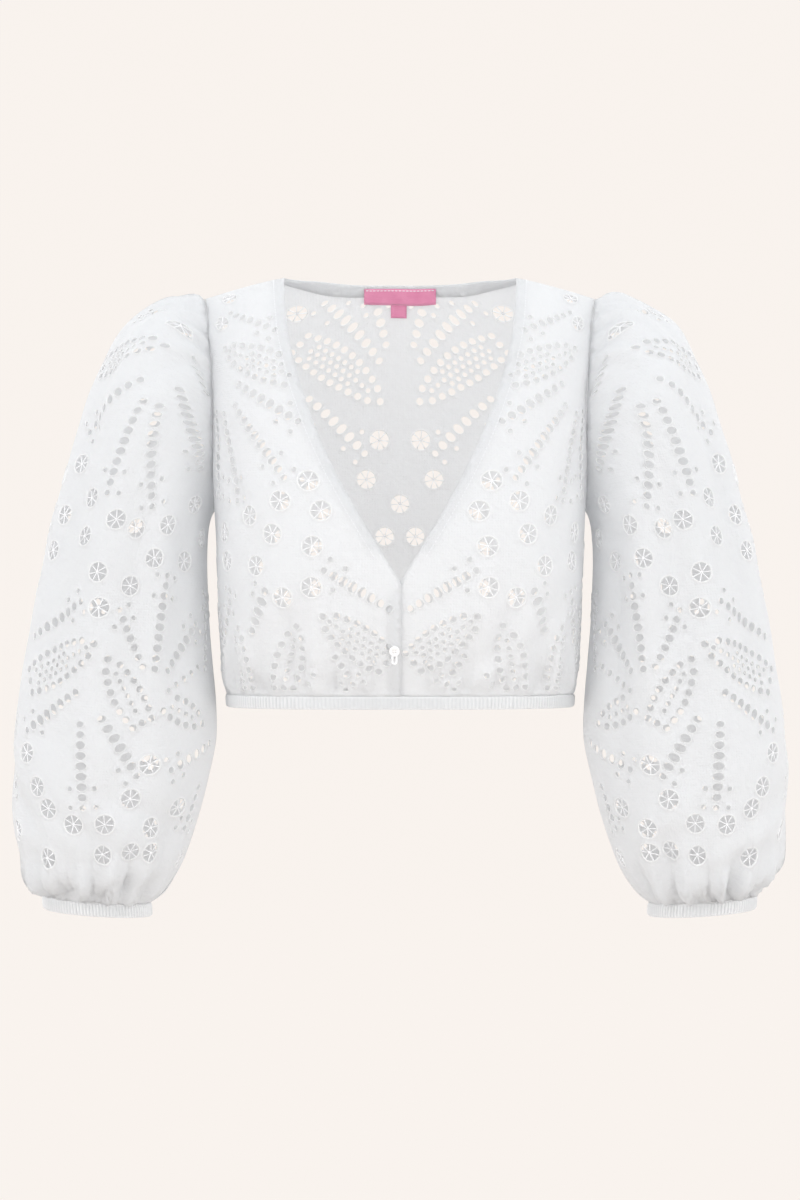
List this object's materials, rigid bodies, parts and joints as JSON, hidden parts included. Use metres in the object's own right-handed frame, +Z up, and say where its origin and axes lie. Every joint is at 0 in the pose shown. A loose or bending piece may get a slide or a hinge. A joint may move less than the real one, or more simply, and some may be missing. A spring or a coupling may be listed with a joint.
{
  "type": "dirndl blouse",
  "caption": "Cropped dirndl blouse of white cutwork cotton with a deep V neck, full gathered sleeves on elastic cuffs, an elastic hem and a pearl button, in its worn shape.",
  "frame": {"origin": "midway between the two neck points of the shoulder seams, where the blouse rests on its wearer", "axes": "+X to the wearer's left, +Y to the back, +Z up; the front faces -Y"},
  "size_m": [0.6302, 0.2323, 0.5207],
  "materials": {
    "cotton": "matt woven cotton with satin-stitched eyelets",
    "elastic": "matt cotton casing gathered over elastic",
    "label": "bare pink woven satin",
    "pearl": "pearly white, polished"
  },
  "bodies": {
    "root": {"front_right": "cotton", "front_left": "cotton", "back": "cotton", "sleeve_right_front": "cotton", "sleeve_right_back": "cotton", "sleeve_left_front": "cotton", "sleeve_left_back": "cotton", "hem_band": "elastic", "cuff_band_right": "elastic", "cuff_band_left": "elastic", "neck_facing_right": "cotton", "neck_facing_left": "cotton", "neck_facing_back": "cotton", "woven_label": "label", "size_tab": "label", "button": "pearl"}
  },
  "joints": []
}
